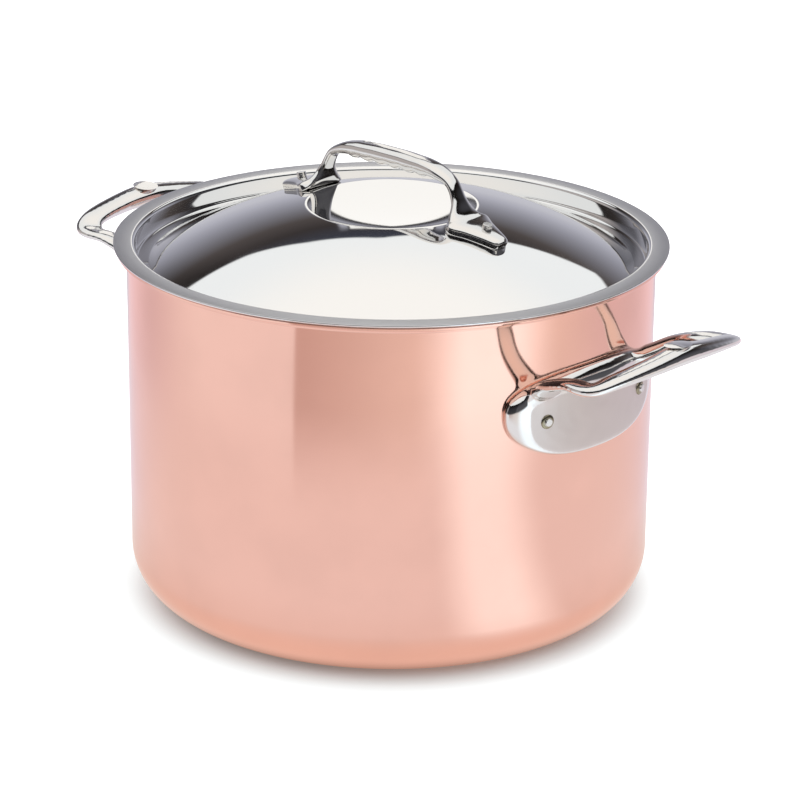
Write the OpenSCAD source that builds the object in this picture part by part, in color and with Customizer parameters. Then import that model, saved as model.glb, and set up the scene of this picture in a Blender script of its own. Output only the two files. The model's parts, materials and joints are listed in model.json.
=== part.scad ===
// Lidded stockpot: a copper pot with a stainless steel lining, two riveted cast
// loop handles, and a domed lid that drops into the mouth and has a riveted arch handle.
// Millimetres. The origin is the centre of the base on the surface that it stands on,
// Z is up and X runs through both side handles.

/* [Pot body] */
// Diameter inside the lining
pot_inner_d = 240; // [200:1:280]
// Height of the lip's top above the surface that the pot stands on
pot_height = 170.5; // [150:0.5:220]
// Thickness of the copper
copper_t = 1.8; // [1.2:0.1:3]
// Thickness of the stainless steel lining
lining_t = 0.4; // [0.2:0.1:1]
// Radius of the rounded bottom edge, on the outside
base_edge_r = 24; // [12:0.5:30]
// Radius of the hollow bend under the lip
lip_bend_r = 2.4; // [1.5:0.1:5]
// How far the lip stands out from the wall
lip_w = 4.8; // [3:0.1:8]

/* [Base disc] */
// Diameter of the magnetic disc under the base
disc_d = 188; // [120:1:190]
// Thickness of the magnetic disc
disc_t = 0.8; // [0.5:0.1:1.5]
// How far the disc stands out below the copper
disc_proud = 0.4; // [0.1:0.1:0.5]
// Gap round the edge of the disc
disc_gap = 0.1; // [0.05:0.05:0.5]

/* [Side handle plates] */
// Distance from the lip's top down to the widest line of the plate
plate_drop = 45; // [40:0.5:80]
// Width of the plate, measured round the wall
plate_w = 96.5; // [80:0.5:120]
// Height of the plate above its widest line
plate_up_h = 16; // [12:0.5:24]
// Height of the plate below its widest line
plate_down_h = 23.5; // [16:0.5:30]
// Thickness of the plate
plate_t = 6.5; // [3:0.1:8]
// Width of the sloping rim round the plate's face
plate_rim_w = 4.5; // [2:0.1:7]

/* [Side handle loops] */
// Distance from the wall out to the middle of the bar
loop_reach = 48.5; // [35:0.1:60]
// Distance from the middle of the handle to the widest part of each arm
loop_half_w = 47.5; // [38:0.5:60]
// Height of the bar's middle above the widest line of the plate
loop_rise = 30.5; // [25:0.5:45]
// Width of the bar
bar_w = 14; // [9:0.5:18]
// Thickness of the bar
bar_t = 9; // [6:0.1:12]
// Slope of the bar's top face, down towards the pot, in degrees
bar_tilt = 12; // [0:1:25]
// Diameter of the plain boss in the middle of the bar
boss_d = 13; // [9:0.5:18]
// How far the boss stands above the bar
boss_h = 0.8; // [0.4:0.1:2]

/* [Side handle rivets] */
// Distance between the two rivets, measured round the wall
rivet_spacing = 60; // [50:1:76]
// Distance from the widest line of the plate down to the rivets
rivet_drop = 3.8; // [0:0.1:8]
// Diameter of the rivet's shank
rivet_d = 6.6; // [5:0.1:8]
// Diameter of the rivet's head inside the pot
rivet_head_d = 14; // [10:0.5:18]
// Height of the rivet's head inside the pot
rivet_head_h = 2.4; // [1.5:0.1:4]
// How far the rivet's closed end stands out of the plate
rivet_tail_h = 0.9; // [0.4:0.1:2]
// Gap between a rivet's shank and its hole
rivet_gap = 0.1; // [0.05:0.05:0.3]

/* [Lid] */
// Thickness of the lid's sheet
lid_t = 1; // [0.6:0.1:1.5]
// How far the lid's flange reaches past the lip
flange_over = 1.1; // [0:0.1:3]
// Gap between the lid's plug and the inside of the pot
lid_gap = 1; // [0.5:0.1:3]
// Radius of the bend under the flange
flange_bend_r = 1; // [0.5:0.1:2]
// Depth of the trough below the top of the flange
trough_depth = 10; // [6:0.5:14]
// Radius of the trough's outer corner, on the underside
trough_bend_r = 2.4; // [1.6:0.1:4]
// Width of the trough, from the plug's wall to the foot of the dome
trough_w = 7; // [5:0.5:12]
// Height of the dome's top above the bottom of the trough
dome_rise = 29.7; // [20:0.1:40]

/* [Lid handle] */
// Distance from the lid's middle to each end of the handle
arch_half_w = 68; // [50:0.5:90]
// Height of the arch's top above the dome's top
arch_rise = 23.3; // [18:0.1:40]
// Width of the arch across the grip
arch_w = 11; // [8:0.5:16]
// Thickness of the arch at the grip
arch_t = 7.8; // [5:0.1:10]
// Width of the feet where they spread out
foot_w = 26.5; // [16:0.5:32]
// Thickness of the feet
foot_t = 4.8; // [3:0.1:7]
// Height of the finger bumps under the grip
bump_h = 1; // [0.3:0.1:2]
// Distance from one finger bump to the next
bump_pitch = 8.6; // [6:0.1:12]

/* [Lid rivets] */
// Distance from the lid's middle to each rivet
lid_rivet_r = 57.8; // [45:0.1:80]
// Diameter of the lid rivet's shank
lid_rivet_d = 4.6; // [3:0.1:6]
// Diameter of the lid rivet's head under the lid
lid_head_d = 10; // [7:0.5:14]
// Height of the lid rivet's head under the lid
lid_head_h = 1.8; // [1:0.1:3]
// How far the lid rivet's closed end stands above the foot
lid_tail_h = 1.4; // [0.5:0.1:3]

/* [Hidden] */
$fn = 360;

// One overrun serves every cut.
over = 1;
half_turn = 180;
quarter_turn = 90;
full_turn = 360;

// Pot
wall_t = copper_t + lining_t;
inner_r = pot_inner_d / 2;
wall_r = inner_r + wall_t;
lip_r = wall_r + lip_w;
lip_centre_z = pot_height - wall_t - lip_bend_r;

// Side handle
plate_z = pot_height - plate_drop;
rivet_z = plate_z - rivet_drop;
rivet_angle = rivet_spacing / 2 / wall_r * half_turn / PI;
// Points round the plate's outline and steps across its rim and its face
outline_steps = 60;
rim_steps = 4;
face_steps = 3;
// Half of the loop from its root in the plate to the middle of the bar. Each row is outward,
// sideways, upward, width, thickness and slope, as shares of the loop's sizes.
loop_shares = [
    [-0.05, 0.90, 0.21, 0.70, 1.05, 0],
    [0.12, 0.89, 0.38, 0.76, 0.90, 0],
    [0.30, 0.88, 0.61, 0.83, 0.67, 0],
    [0.54, 0.93, 0.74, 0.88, 0.52, 0.2],
    [0.79, 0.95, 0.77, 0.92, 0.58, 0.5],
    [0.92, 0.78, 0.88, 0.84, 0.66, 0.8],
    [0.99, 0.38, 0.96, 0.86, 0.84, 1.0],
    [1.00, 0.00, 1.00, 0.94, 1.00, 1.0]];
// Steps between two rows and points round the bar
loop_steps = 5;
section_steps = 20;
// How square the bar's section and the plate's outline are: 2 is an ellipse
bar_squareness = 2.6;
plate_squareness = 2.4;

// Lid
seat_z = pot_height;
flange_top_z = seat_z + lid_t;
flange_r = lip_r + flange_over;
plug_r = inner_r - lid_gap;
trough_top_z = flange_top_z - trough_depth;
dome_foot_r = plug_r - trough_w;
dome_r = (pow(dome_foot_r, 2) + pow(dome_rise, 2)) / (2 * dome_rise);
dome_centre_z = trough_top_z + dome_rise - dome_r;
dome_top_z = trough_top_z + dome_rise;
// Half of the lid handle from the middle of the grip to the end of its foot. Each row of
// the arch is outward as a share of the handle's half width, upward as a share of the arch's
// rise, width as a share of the arch's width and thickness as a share of the arch's.
arch_shares = [
    [0.00, 0.81, 1.00, 1.00],
    [0.11, 0.81, 1.00, 1.00],
    [0.22, 0.80, 0.99, 0.96],
    [0.32, 0.79, 0.96, 0.88],
    [0.43, 0.74, 0.88, 0.72],
    [0.55, 0.60, 0.70, 0.46],
    [0.635, 0.27, 0.74, 0.46]];
// Each row of the foot is outward, clear height above the dome as a share of the foot's
// thickness, width as a share of the foot's width and thickness as a share of the foot's.
foot_shares = [
    [0.66, 1.05, 0.62, 1.00],
    [0.69, 0.45, 1.00, 1.15],
    [0.79, 0.42, 0.72, 1.16],
    [0.90, 0.45, 0.50, 1.10],
    [0.965, 0.45, 0.34, 1.02],
    [0.99, 0.42, 0.22, 0.80],
    [1.00, 0.38, 0.10, 0.45]];
arch_steps = 5;
bump_reach_share = 0.38;
lid_rivet_tilt = asin(lid_rivet_r / dome_r);
lid_rivet_z = dome_centre_z + sqrt(pow(dome_r, 2) - pow(lid_rivet_r, 2));
// Depth of the head's flat side, whose edge rests on the hollow side of the dome
lid_head_seat = dome_r - sqrt(pow(dome_r - lid_t, 2) - pow(lid_head_d / 2, 2));

// A point on a smooth curve through four rows, at a share t of the way from the second
// to the third.
function curve_point(a, b, c, d, t) =
    (2 * b + (c - a) * t + (2 * a - 5 * b + 4 * c - d) * pow(t, 2)
     + (3 * b - a - 3 * c + d) * pow(t, 3)) / 2;

// A smooth curve through all the rows, with the given number of steps between two of them.
function smooth(rows, steps) =
    let (last = len(rows) - 1)
    [for (i = [0:last - 1], k = [0:steps - 1])
        curve_point(rows[max(i - 1, 0)], rows[i], rows[i + 1], rows[min(i + 2, last)], k / steps),
     rows[last]];

function unit(v) = v / norm(v);

// A rounded coordinate round a squarish oval: the sine or cosine keeps its sign.
function soft(value, squareness) = sign(value) * pow(abs(value), 2 / squareness);

// The direction of travel along a list of points.
function travel(points, i) =
    unit(points[min(i + 1, len(points) - 1)] - points[max(i - 1, 0)]);

// One closed skin through rings of points, all with the same number of points.
module skin(rings) {
    count = len(rings[0]);
    points = [for (ring = rings) for (p = ring) p];
    sides = [for (i = [0:len(rings) - 2], k = [0:count - 1], half = [0, 1])
        let (a = i * count + k, b = i * count + (k + 1) % count)
        half == 0 ? [a, b, b + count] : [a, b + count, a + count]];
    start = [for (k = [1:count - 2]) [0, k + 1, k]];
    first = (len(rings) - 1) * count;
    end = [for (k = [1:count - 2]) [first, first + k, first + k + 1]];
    polyhedron(points = points, faces = concat(sides, start, end), convexity = 10);
}

// The part of a ring between two radii that lies in one quarter of the plane.
module quarter_ring(centre, r_in, r_out, side_r, side_z) {
    translate(centre)
        intersection() {
            difference() {
                circle(r_out);
                circle(r_in);
            }
            translate([side_r < 0 ? -r_out : 0, side_z < 0 ? -r_out : 0])
                square(r_out);
        }
}

// A rectangle between two corners.
module span(from, to) {
    translate(from)
        square(to - from);
}

// Half of the section through one layer of the pot. The layer starts the given depth
// inside the copper's outer face.
module layer_section(depth, t) {
    corner_r = wall_r - base_edge_r;
    corner_z = disc_proud + base_edge_r;
    lip_z = lip_centre_z + lip_bend_r + depth;
    span([0, disc_proud + depth], [corner_r, disc_proud + depth + t]);
    quarter_ring([corner_r, corner_z], base_edge_r - depth - t, base_edge_r - depth, 1, -1);
    span([wall_r - depth - t, corner_z], [wall_r - depth, lip_centre_z]);
    quarter_ring([wall_r + lip_bend_r, lip_centre_z], lip_bend_r + depth,
                 lip_bend_r + depth + t, -1, 1);
    span([wall_r + lip_bend_r, lip_z], [lip_r, lip_z + t]);
}

// A bore from inside the pot out through the plate, at the rivet's height.
module rivet_axis(turn) {
    rotate([0, 0, turn])
        translate([inner_r, 0, rivet_z])
            rotate([0, quarter_turn, 0])
                children();
}

module rivet_bores() {
    for (side = [0, half_turn], turn = [-rivet_angle, rivet_angle])
        rivet_axis(side + turn)
            translate([0, 0, -over - inner_r / 2])
                cylinder(d = rivet_d + 2 * rivet_gap, h = inner_r + over);
}

module copper_shell() {
    color("#d9956f")
        difference() {
            rotate_extrude()
                layer_section(0, copper_t);
            translate([0, 0, disc_proud - over])
                cylinder(d = disc_d + 2 * disc_gap, h = disc_t - disc_proud + over);
            rivet_bores();
        }
}

module steel_lining() {
    color("#c9cacc")
        difference() {
            rotate_extrude()
                layer_section(copper_t, lining_t);
            rivet_bores();
        }
}

module magnetic_base_disc() {
    color("#a9abae")
        cylinder(d = disc_d, h = disc_t);
}

// The plate's outline in width and height: an oval that is deeper below its widest line.
function plate_point(turn) =
    [plate_w / 2 * soft(cos(turn), plate_squareness),
     (sin(turn) > 0 ? plate_up_h : plate_down_h) * soft(sin(turn), plate_squareness)];

// The outline drawn in by an inset and bent round the wall at a radius.
function plate_ring(inset, r) =
    [for (k = [0:outline_steps - 1])
        let (p = plate_point(-k * full_turn / outline_steps),
             q = p - unit(p) * inset,
             turn = q.x / wall_r * half_turn / PI)
        [r * cos(turn), r * sin(turn), plate_z + q.y]];

// The same outline shrunk towards its middle, for the face inside the rim.
function face_ring(scale_share, r) =
    [for (k = [0:outline_steps - 1])
        let (p = plate_point(-k * full_turn / outline_steps),
             q = (p - unit(p) * plate_rim_w) * scale_share,
             turn = q.x / wall_r * half_turn / PI)
        [r * cos(turn), r * sin(turn), plate_z + q.y]];

module plate() {
    face_r = wall_r + plate_t;
    back_r = wall_r - copper_t;
    rim = [for (i = [0:rim_steps])
        let (turn = i / rim_steps * quarter_turn)
        plate_ring(plate_rim_w * (1 - cos(turn)),
                   wall_r + plate_t * (1 + sin(turn)) / 2)];
    face = [for (i = [1:face_steps]) face_ring(1 - i / (face_steps + 1), face_r)];
    skin(concat([plate_ring(0, back_r)], rim, face));
}

// The ring of points round the loop at one place on its path.
function loop_ring(places, rows, i) =
    let (going = travel(places, i),
         flat = unit(cross(going, [0, 0, 1])),
         rise = cross(flat, going),
         slope = rows[i][5] * bar_tilt,
         side = flat * cos(slope) + rise * sin(slope),
         top = rise * cos(slope) - flat * sin(slope))
    [for (k = [0:section_steps - 1])
        let (turn = k * full_turn / section_steps)
        places[i] + side * soft(cos(turn), bar_squareness) * rows[i][3] * bar_w / 2
                  + top * soft(sin(turn), bar_squareness) * rows[i][4] * bar_t / 2];

module loop() {
    back = [for (i = [len(loop_shares) - 2:-1:0])
        [for (k = [0:5]) k == 1 ? -loop_shares[i][k] : loop_shares[i][k]]];
    rows = smooth(concat(loop_shares, back), loop_steps);
    places = [for (row = rows)
        [wall_r + row[0] * loop_reach, -row[1] * loop_half_w, plate_z + row[2] * loop_rise]];
    skin([for (i = [0:len(places) - 1]) loop_ring(places, rows, i)]);
}

module boss() {
    translate([wall_r + loop_reach, 0, plate_z + loop_rise])
        rotate([0, -bar_tilt / 2, 0])
            cylinder(d = boss_d, h = bar_t / 2 + boss_h);
}

module side_handle(turn) {
    color("#d4d5d7")
        difference() {
            rotate([0, 0, turn]) {
                plate();
                loop();
                boss();
            }
            translate([0, 0, -over])
                cylinder(r = wall_r, h = pot_height + over);
            rivet_bores();
        }
}

module side_handle_right() {
    side_handle(0);
}

module side_handle_left() {
    side_handle(half_turn);
}

// A domed disc that stands on its flat side.
module button(d, h) {
    r = (pow(d / 2, 2) + pow(h, 2)) / (2 * h);
    intersection() {
        translate([0, 0, h - r])
            sphere(r);
        cylinder(d = d, h = h);
    }
}

// The rivet: its head rests on the lining, its shank fills the bore and its closed end
// stands out of the plate.
module handle_rivet(turn) {
    shank_h = wall_t + plate_t;
    color("#c3c4c6")
        union() {
            intersection() {
                rivet_axis(turn)
                    mirror([0, 0, 1])
                        translate([0, 0, -lining_t])
                            button(rivet_head_d, rivet_head_h + lining_t);
                cylinder(r = inner_r, h = pot_height);
            }
            rivet_axis(turn)
                translate([0, 0, -lining_t])
                    cylinder(d = rivet_d, h = shank_h + lining_t);
            rivet_axis(turn)
                translate([0, 0, shank_h])
                    button(rivet_d, rivet_tail_h);
        }
}

module handle_rivet_right_front() {
    handle_rivet(-rivet_angle);
}

module handle_rivet_right_rear() {
    handle_rivet(rivet_angle);
}

module handle_rivet_left_front() {
    handle_rivet(half_turn + rivet_angle);
}

module handle_rivet_left_rear() {
    handle_rivet(half_turn - rivet_angle);
}

// Half of the section through the lid.
module lid_section() {
    bend_r = plug_r + flange_bend_r;
    bend_z = seat_z - flange_bend_r;
    corner_r = plug_r - trough_bend_r;
    corner_z = trough_top_z - lid_t + trough_bend_r;
    span([bend_r, seat_z], [flange_r, flange_top_z]);
    quarter_ring([bend_r, bend_z], flange_bend_r, flange_bend_r + lid_t, -1, 1);
    span([plug_r - lid_t, corner_z], [plug_r, bend_z]);
    quarter_ring([corner_r, corner_z], trough_bend_r - lid_t, trough_bend_r, 1, -1);
    span([dome_foot_r - lid_t, trough_top_z - lid_t], [corner_r, trough_top_z]);
    intersection() {
        translate([0, dome_centre_z])
            difference() {
                circle(dome_r);
                circle(dome_r - lid_t);
            }
        span([0, trough_top_z - lid_t], [dome_foot_r, dome_top_z + over]);
    }
}

// The axis of a lid rivet, square to the dome.
module lid_rivet_axis(turn) {
    rotate([0, 0, turn])
        translate([lid_rivet_r, 0, lid_rivet_z])
            rotate([0, lid_rivet_tilt, 0])
                children();
}

module lid_bores() {
    for (turn = [0, half_turn])
        lid_rivet_axis(turn)
            translate([0, 0, -arch_rise / 2])
                cylinder(d = lid_rivet_d + 2 * rivet_gap, h = arch_rise);
}

module lid_shell() {
    color("#cfd0d2")
        difference() {
            rotate_extrude()
                lid_section();
            lid_bores();
        }
}

function dome_z(r) = dome_centre_z + sqrt(pow(dome_r, 2) - pow(r, 2));

// How far a finger bump stands out below the grip at a distance from the middle.
function bump(x) =
    abs(x) < bump_reach_share * arch_half_w
        ? bump_h * (1 - cos(x / bump_pitch * full_turn)) / 2
        : 0;

// Rows of the lid handle in millimetres: outward, upward, width and thickness.
arch_rows = [for (row = arch_shares)
    [row[0] * arch_half_w, dome_top_z + row[1] * arch_rise, row[2] * arch_w, row[3] * arch_t]];
foot_rows = [for (row = foot_shares)
    [row[0] * arch_half_w, dome_z(row[0] * arch_half_w) + row[1] * foot_t,
     row[2] * foot_w, row[3] * foot_t]];

function arch_ring(places, rows, i) =
    let (going = travel(places, i),
         side = [0, 1, 0],
         top = cross(going, side))
    [for (k = [0:section_steps - 1])
        let (turn = k * full_turn / section_steps,
             deep = rows[i][3] / 2 + (sin(turn) > 0 ? bump(places[i].x) : 0))
        places[i] + side * soft(cos(turn), bar_squareness) * rows[i][2] / 2
                  - top * soft(sin(turn), bar_squareness) * deep];

module lid_handle() {
    half = concat(arch_rows, foot_rows);
    flipped = [for (i = [len(half) - 1:-1:1])
        [-half[i][0], half[i][1], half[i][2], half[i][3]]];
    rows = smooth(concat(flipped, half), arch_steps);
    places = [for (row = rows) [row[0], 0, row[1]]];
    color("#d4d5d7")
        difference() {
            skin([for (i = [0:len(places) - 1]) arch_ring(places, rows, i)]);
            translate([0, 0, dome_centre_z])
                sphere(dome_r);
            lid_bores();
        }
}

module lid_rivet(turn) {
    color("#c3c4c6")
        union() {
            lid_rivet_axis(turn)
                mirror([0, 0, 1])
                    translate([0, 0, lid_head_seat])
                        button(lid_head_d, lid_head_h);
            lid_rivet_axis(turn)
                translate([0, 0, -lid_t - lid_head_h / 2])
                    cylinder(d = lid_rivet_d, h = lid_t + lid_head_h / 2 + foot_t);
            lid_rivet_axis(turn)
                translate([0, 0, foot_t])
                    button(lid_rivet_d, lid_tail_h);
        }
}

module lid_rivet_right() {
    lid_rivet(0);
}

module lid_rivet_left() {
    lid_rivet(half_turn);
}

copper_shell();
steel_lining();
magnetic_base_disc();
side_handle_right();
side_handle_left();
handle_rivet_right_front();
handle_rivet_right_rear();
handle_rivet_left_front();
handle_rivet_left_rear();
lid_shell();
lid_handle();
lid_rivet_right();
lid_rivet_left();
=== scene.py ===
"""A copper stockpot with a steel lining, two cast loop handles and a domed steel lid, on a plain pale floor.

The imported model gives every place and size. This file turns and casts the finished pieces in metres around it,
gives each one its metal, and sets up the floor, the light and the camera.
"""

import json
import math

import bmesh
import bpy
from mathutils import Matrix, Vector

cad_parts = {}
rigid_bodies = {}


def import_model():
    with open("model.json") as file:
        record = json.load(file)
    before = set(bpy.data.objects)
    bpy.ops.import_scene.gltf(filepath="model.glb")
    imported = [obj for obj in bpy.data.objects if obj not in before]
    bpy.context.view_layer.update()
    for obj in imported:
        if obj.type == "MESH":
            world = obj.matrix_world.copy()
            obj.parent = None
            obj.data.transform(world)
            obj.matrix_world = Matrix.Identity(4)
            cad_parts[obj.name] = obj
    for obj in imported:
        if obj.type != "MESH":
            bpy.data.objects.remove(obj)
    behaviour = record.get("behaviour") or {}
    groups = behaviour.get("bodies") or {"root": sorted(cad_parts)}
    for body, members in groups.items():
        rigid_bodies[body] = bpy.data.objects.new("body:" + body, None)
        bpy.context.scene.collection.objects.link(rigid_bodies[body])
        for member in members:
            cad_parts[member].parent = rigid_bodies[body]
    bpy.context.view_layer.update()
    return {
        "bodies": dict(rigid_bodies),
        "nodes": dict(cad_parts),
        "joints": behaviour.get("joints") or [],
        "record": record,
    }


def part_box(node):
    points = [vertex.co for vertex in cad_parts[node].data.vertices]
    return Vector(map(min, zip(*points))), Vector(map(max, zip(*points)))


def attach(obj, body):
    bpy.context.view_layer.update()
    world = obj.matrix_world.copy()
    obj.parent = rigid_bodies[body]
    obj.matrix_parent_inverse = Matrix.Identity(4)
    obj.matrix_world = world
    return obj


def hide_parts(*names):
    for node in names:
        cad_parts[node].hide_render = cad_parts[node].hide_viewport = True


bl_info = {
    "name": "Copper stockpot",
    "version": (1, 0, 0),
    "blender": (4, 5, 0),
    "location": "3D View > Sidebar > Stockpot",
    "description": "Builds the finished pieces of a lidded copper stockpot around its packed model",
    "category": "Add Mesh",
}

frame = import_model()

MM = 0.001
MERGE = 1e-7  # points closer than this become one
LEVEL = 1e-6  # heights closer than this are the same
BORE_PLAY = 0.1 * MM  # between a rivet's shank and its bore
WALL_RINGS = (60 * MM, 112 * MM, 131 * MM)  # heights at which the straight wall has a ring of points
BODY_STEPS, DISC_STEPS, RIVET_STEPS = 256, 192, 64  # sides of a turned piece


# Sizes and finishes that a user would change


def length(name, description, default):
    """A length in metres, shown in the scene's unit."""
    return bpy.props.FloatProperty(
        name=name, description=description, default=default, min=0.0, precision=5, subtype="DISTANCE", unit="LENGTH"
    )


def angle(name, description, default):
    """An angle in radians, shown in degrees."""
    return bpy.props.FloatProperty(name=name, description=description, default=default, subtype="ANGLE")


def colour(name, description, default):
    """A linear colour."""
    return bpy.props.FloatVectorProperty(
        name=name, description=description, default=default, size=3, min=0.0, max=1.0, subtype="COLOR"
    )


def share(name, description, default):
    """A number from 0 to 1."""
    return bpy.props.FloatProperty(
        name=name, description=description, default=default, min=0.0, max=1.0, subtype="FACTOR"
    )


class STOCKPOT_PG_pot(bpy.types.PropertyGroup):
    """Sizes of the pot's body."""

    wall_radius: length("Wall radius", "From the axis to the outside of the copper wall", 122.2 * MM)
    lip_radius: length("Lip radius", "From the axis to the edge of the lip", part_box("copper_shell")[1].x)
    lip_top: length("Lip top", "Height of the lining's top face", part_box("steel_lining")[1].z)
    underside: length("Underside", "Height of the copper's underside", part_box("copper_shell")[0].z)
    copper: length("Copper", "Thickness of the copper", 1.8 * MM)
    lining: length("Lining", "Thickness of the steel lining", 0.4 * MM)
    base_edge: length("Bottom edge", "Radius of the rounded bottom edge", 24 * MM)
    lip_bend: length("Lip bend", "Radius of the hollow bend under the lip", 2.4 * MM)
    disc_radius: length("Disc radius", "Radius of the magnetic base disc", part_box("magnetic_base_disc")[1].x)
    disc_thickness: length("Disc thickness", "Thickness of the magnetic base disc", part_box("magnetic_base_disc")[1].z)
    disc_gap: length("Disc gap", "Gap round the edge of the base disc", 0.1 * MM)


class STOCKPOT_PG_lid(bpy.types.PropertyGroup):
    """Sizes of the lid."""

    sheet: length("Sheet", "Thickness of the lid's sheet", 1.0 * MM)
    flange_radius: length("Flange radius", "From the axis to the edge of the flange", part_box("lid_shell")[1].x)
    seat: length("Seat", "Height of the flange's underside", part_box("steel_lining")[1].z)
    dome_top: length("Dome top", "Height that the dome's crown would have without its dish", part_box("lid_shell")[1].z)
    underside: length("Underside", "Height of the trough's underside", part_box("lid_shell")[0].z)
    plug_radius: length("Plug radius", "From the axis to the outside of the plug's wall", 119 * MM)
    flange_bend: length("Flange bend", "Radius of the bend under the flange", 1.0 * MM)
    trough_bend: length("Trough bend", "Radius of the trough's outer corner, underneath", 2.4 * MM)
    trough_width: length("Trough width", "From the plug's wall to the foot of the dome", 7 * MM)
    dish_radius: length("Dish radius", "Radius of the shallow dish in the middle of the dome", 40 * MM)
    dish_edge: length("Dish edge", "Half the width of the rounded crest round the dish", 1.0 * MM)
    dish_slope: angle("Dish slope", "Slope of the dish at its crest", math.radians(8))


class STOCKPOT_PG_side_handle(bpy.types.PropertyGroup):
    """Sizes of the cast side handles."""

    plate_height: length("Plate height", "Height of the plate's widest line", 125.5 * MM)
    plate_width: length("Plate width", "Width of the plate, measured round the wall", 96.5 * MM)
    plate_above: length("Plate above", "Height of the plate above its widest line", 16 * MM)
    plate_below: length("Plate below", "Height of the plate below its widest line", 23.5 * MM)
    plate_thickness: length("Plate thickness", "Thickness of the plate", 6.5 * MM)
    rim_width: length("Rim width", "Width of the rounded rim above and below the plate's face", 2.4 * MM)
    rim_above: length("Rim above", "Width of the sloping rim above the plate's face, behind the loop", 8 * MM)
    end_roll: length("End roll", "Width of the rolled ends of the plate", 10 * MM)
    fillet: length("Fillet", "Radius where the arms flow into the plate", 3.5 * MM)
    reach: length("Reach", "From the wall out to the middle of the bar", 48.5 * MM)
    half_width: length("Half width", "From the handle's middle to the widest part of an arm", 47.5 * MM)
    rise: length("Rise", "Height of the bar's middle above the plate's widest line", 30.5 * MM)
    bar_width: length("Bar width", "Width of the bar", 14 * MM)
    bar_thickness: length("Bar thickness", "Thickness of the bar", 9 * MM)
    bar_tilt: angle("Bar tilt", "Slope of the bar's top, down towards the pot", math.radians(12))
    boss_radius: length("Boss radius", "Radius of the plain round boss", 6.2 * MM)
    boss_height: length("Boss height", "How far the boss stands above the bar", 0.9 * MM)
    casting: length("Casting detail", "Size of the smallest face of a cast piece", 0.6 * MM)


class STOCKPOT_PG_lid_handle(bpy.types.PropertyGroup):
    """Sizes of the cast lid handle."""

    half_width: length("Half width", "From the lid's middle to the end of a foot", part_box("lid_handle")[1].x)
    rise: length("Rise", "Height of the arch above the dome", 23.3 * MM)
    width: length("Width", "Width of the grip", 11 * MM)
    thickness: length("Thickness", "Thickness of the grip", 7.8 * MM)
    foot_width: length("Foot width", "Width of the feet where they spread", 26.5 * MM)
    foot_thickness: length("Foot thickness", "Thickness of the feet", 4.8 * MM)
    bump_height: length("Bump height", "Height of the finger bumps", 1.0 * MM)
    bump_pitch: length("Bump pitch", "From one finger bump to the next", 8.6 * MM)


class STOCKPOT_PG_rivets(bpy.types.PropertyGroup):
    """Sizes of the rivets."""

    spacing: length("Spacing", "Between the two rivets of a side handle, round the wall", 60 * MM)
    height: length("Height", "Height of the side handles' rivets", 121.7 * MM)
    shank: length("Shank", "Radius of a side handle rivet's shank", 3.3 * MM)
    head: length("Head", "Radius of a side handle rivet's head", 7 * MM)
    head_height: length("Head height", "Height of a side handle rivet's head", 2.4 * MM)
    tail: length("Tail", "How far the closed end stands out of the plate", 1.6 * MM)
    nub: length("Nub", "Radius of the small plug in the closed end", 1.8 * MM)
    lid_place: length("Lid place", "From the lid's middle to a lid rivet", 57.8 * MM)
    lid_shank: length("Lid shank", "Radius of a lid rivet's shank", 2.3 * MM)
    lid_head: length("Lid head", "Radius of a lid rivet's head", 5 * MM)
    lid_head_height: length("Lid head height", "Height of a lid rivet's head", 1.8 * MM)
    lid_tail: length("Lid tail", "How far a lid rivet stands out of its foot", 2.3 * MM)


class STOCKPOT_PG_finishes(bpy.types.PropertyGroup):
    """Colours of the metals."""

    copper: colour("Copper", "Polished copper", (0.93, 0.56, 0.455))
    copper_roughness: share("Copper roughness", "Roughness of the copper's polish", 0.11)
    steel: colour("Mirror steel", "Mirror-polished stainless steel", (0.86, 0.855, 0.845))
    cast: colour("Cast steel", "Polished cast stainless steel", (0.80, 0.785, 0.765))
    satin: colour("Satin steel", "Satin stainless steel", (0.66, 0.66, 0.675))


class STOCKPOT_PG_stage(bpy.types.PropertyGroup):
    """The camera's place and the floor."""

    distance: length("Distance", "From the pot's axis to the camera, level", 1371.5 * MM)
    height: length("Height", "Height of the camera above the floor", 592.9 * MM)
    turn: angle("Turn", "How far the pot is turned against the camera", math.radians(43.8))
    pitch: angle("Pitch", "How far the camera looks down", 0.3506)
    yaw: angle("Yaw", "How far the camera looks aside", 0.0034)
    roll: angle("Roll", "How far the camera leans", 0.0105)
    lens: bpy.props.FloatProperty(
        name="Lens", description="Focal length on a sensor 36 mm wide", default=139.67, unit="CAMERA"
    )
    floor_radius: length("Floor radius", "Radius of the plain pale floor", 3.0)


def groups_of(context, *names):
    """The scene's groups of sizes and finishes, by their names."""
    return [getattr(context.scene, "stockpot_" + name) for name in names]


# Modelling by hand


def start_clean():
    """Nothing is selected, and the view is in object mode."""
    if bpy.context.object and bpy.context.object.mode != "OBJECT":
        bpy.ops.object.mode_set(mode="OBJECT")
    bpy.ops.object.select_all(action="DESELECT")


def name_piece(name):
    """The active object and its mesh get a name."""
    piece = bpy.context.object
    piece.name = name
    piece.data.name = name
    return piece


def only(piece):
    """One piece alone is selected and active."""
    start_clean()
    piece.select_set(True)
    bpy.context.view_layer.objects.active = piece
    return piece


def smoothed(piece, crease):
    """A piece is shaded smooth, apart from creases sharper than an angle in degrees."""
    only(piece)
    bpy.ops.object.shade_smooth_by_angle(angle=math.radians(crease))
    return piece


def arc(centre, radius, start, end, steps):
    """Points of a bend in a profile, from one angle to another, in degrees."""
    angles = [math.radians(start + (end - start) * i / steps) for i in range(steps + 1)]
    return [(centre[0] + radius * math.cos(a), centre[1] + radius * math.sin(a)) for a in angles]


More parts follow.
